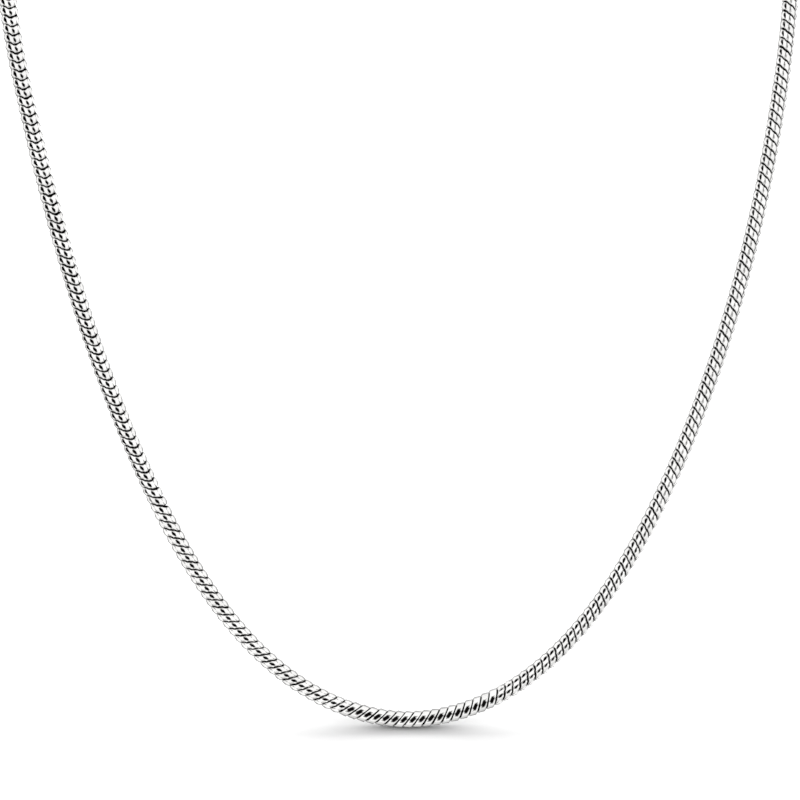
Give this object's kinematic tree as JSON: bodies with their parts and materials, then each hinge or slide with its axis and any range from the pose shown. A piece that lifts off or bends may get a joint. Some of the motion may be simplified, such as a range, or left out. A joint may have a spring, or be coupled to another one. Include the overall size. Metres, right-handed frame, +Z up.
{
  "type": "snake chain necklace",
  "caption": "Round snake chain of nested wavy links, closed at the nape by end caps, jump rings and a clasp, held in the form it takes round a neck.",
  "frame": {"origin": "middle of the neck, level with the neck's sides where the front drop begins", "axes": "+Z up along the neck, -Y to the wearer's front where the chain hangs lowest, +X to the wearer's left, which is the viewer's right"},
  "size_m": [0.1151, 0.1135, 0.1229],
  "materials": {
    "chain": "polished silver links, dark in the gaps between them",
    "fittings": "polished silver with fine wear"
  },
  "bodies": {
    "root": {"snake_chain_left": "chain", "snake_chain_right": "chain", "end_cap_left": "fittings", "end_cap_right": "fittings", "jump_ring_left": "fittings", "jump_ring_right": "fittings", "clasp": "fittings"}
  },
  "joints": []
}
